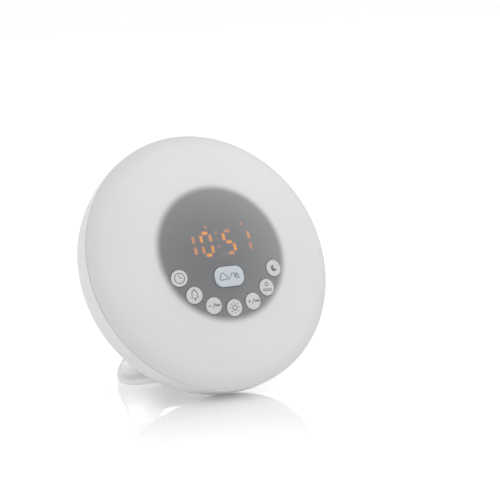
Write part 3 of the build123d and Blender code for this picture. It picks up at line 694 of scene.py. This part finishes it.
def table_finish():
    material = bpy.data.materials.new("white glossy table")
    material.use_nodes = True
    material.node_tree.nodes.clear()
    wiring = Wiring(material.node_tree)
    white = wiring.node("BsdfDiffuse", Color=TABLE_WHITE).outputs[0]
    seen = wiring.math("MULTIPLY", wiring.node("LightPath").outputs["Is Camera Ray"], TABLE_GLOW)
    glow = wiring.node("Emission", Color=(1, 1, 1, 1), Strength=seen).outputs[0]
    lit_white = wiring.node("AddShader", i0=white, i1=glow).outputs[0]
    mirror = wiring.node("BsdfGlossy", Color=(1, 1, 1, 1), Roughness=MIRROR_ROUGHNESS).outputs[0]
    away = wiring.vector("LENGTH", wiring.place())
    share = wiring.ramp(away, MIRROR_NEAR, MIRROR_FAR, MIRROR_STRONG, MIRROR_WEAK)
    layers = wiring.node("MixShader", i0=share, i1=lit_white, i2=mirror).outputs[0]
    wiring.node("OutputMaterial", Surface=layers)
    return material


bm = bmesh.new()
bmesh.ops.create_grid(bm, x_segments=4, y_segments=4, size=TABLE_HALF)
table_mesh = bpy.data.meshes.new("table")
bm.to_mesh(table_mesh)
bm.free()
table_mesh.materials.append(table_finish())
table = bpy.data.objects.new("table", table_mesh)
bpy.context.collection.objects.link(table)
print("table:", 2 * TABLE_HALF, "m wide")

# %% [markdown]
# ## The light
# A white room lights the clock from all sides. An even room would leave hardly any shading, so its
# light on the clock is stronger at the horizon than above, and weaker from behind. The camera, the
# mirror of the table and clear plastic see the room as plain white all the same. A wide sun from above
# and to the right shapes the dome, and a large panel lights the back. The last lamp is small, sits
# under the clock and shows neither to the camera nor in reflections: it stands for the light that
# comes through the white plastic of the stand.

# %% Surrounding light
HORIZON, ZENITH = 0.95, 0.68
BEHIND = 0.7
world = bpy.data.worlds.new("white room")
bpy.context.scene.world = world
world.use_nodes = True
wiring = Wiring(world.node_tree)
direction = wiring.parts(wiring.node("TexCoord").outputs["Generated"])
room = wiring.ramp(direction["Z"], 0.0, 1.0, HORIZON, ZENITH, kind="LINEAR")
rearward = wiring.ramp(direction["Y"], 0.0, 1.0, 1.0, BEHIND, kind="LINEAR")
dimmed = wiring.math("MULTIPLY", room, rearward)
rays = wiring.node("LightPath").outputs
plain = wiring.math("MAXIMUM", rays["Is Camera Ray"], rays["Is Glossy Ray"])
plain = wiring.math("MAXIMUM", plain, rays["Is Transmission Ray"])
backdrop = world.node_tree.nodes["Background"].inputs
backdrop["Color"].default_value = (1, 1, 1, 1)
wiring.put(wiring.ramp(plain, 0.0, 1.0, dimmed, 1.0, kind="LINEAR"), backdrop["Strength"])
print("surrounding light:", HORIZON, "at the horizon,", ZENITH, "above,", BEHIND, "of that behind")

# %% Lamps


def lamp(name, kind, place, target, **settings):
    """A lamp at a place that shines towards a target, both in metres."""
    light = bpy.data.lights.new(name, kind)
    for setting, value in settings.items():
        setattr(light, setting, value)
    made = bpy.data.objects.new(name, light)
    made.location = place
    made.rotation_euler = (Vector(target) - Vector(place)).to_track_quat("-Z", "Y").to_euler()
    bpy.context.collection.objects.link(made)
    return made


SUN_FROM = (0.45, -0.2, 0.95)
lamp("overhead softbox", "SUN", SUN_FROM, (0, 0, 0), energy=0.58, angle=radians(60))

REAR_FROM, REAR_TO = (-0.8, 0.6, 0.12), (0, 0.02, 0.03)
lamp("rear softbox", "AREA", REAR_FROM, REAR_TO, shape="SQUARE", size=0.7, energy=1.2)

FILL_FROM, FILL_TO = (-0.035, -0.002, 0.003), (-0.045, 0.05, 0.014)
fill_panel = {"shape": "SQUARE", "size": 0.04, "spread": radians(60), "energy": 0.0045}
hidden_fill = lamp("hidden fill", "AREA", FILL_FROM, FILL_TO, **fill_panel)
hidden_fill.visible_camera = False
hidden_fill.visible_glossy = False

# %% [markdown]
# ## The camera
# The clock is seen from the front left and a little from above, with a long lens from far enough away
# that its circle keeps its shape. The lens follows from the size that the clock should have in the
# picture. The lens shift moves the picture without turning the camera, so size and place can be
# changed by themselves.

# %% Camera
CAMERA_AZIMUTH = radians(-28.12)
CAMERA_RISE = radians(9.88)
CAMERA_ROLL = radians(-0.87)
CAMERA_DISTANCE = 1.5
CAMERA_REACH = 20.0
SENSOR = 36.0
PIXELS = 500
PIXELS_PER_METRE = 1521.0
MIDDLE_AT = (208.3, 261.5)
camera_data = bpy.data.cameras.new("camera")
camera_data.sensor_width = SENSOR
camera_data.lens = SENSOR * PIXELS_PER_METRE * CAMERA_DISTANCE / PIXELS
camera_data.shift_x = (PIXELS / 2 - MIDDLE_AT[0]) / PIXELS
camera_data.shift_y = (MIDDLE_AT[1] - PIXELS / 2) / PIXELS
camera_data.clip_end = CAMERA_REACH
back = Vector(
    (
        sin(CAMERA_AZIMUTH) * cos(CAMERA_RISE),
        -cos(CAMERA_AZIMUTH) * cos(CAMERA_RISE),
        sin(CAMERA_RISE),
    )
)
camera = bpy.data.objects.new("camera", camera_data)
camera.location = RIM_MIDDLE + back * CAMERA_DISTANCE
turned = (-back).to_track_quat("-Z", "Y").to_matrix() @ Matrix.Rotation(CAMERA_ROLL, 3, "Z")
camera.rotation_euler = turned.to_euler()
bpy.context.collection.objects.link(camera)
bpy.context.scene.camera = camera
bpy.context.scene.view_settings.view_transform = "Standard"
print("lens:", round(camera_data.lens, 1), "mm")
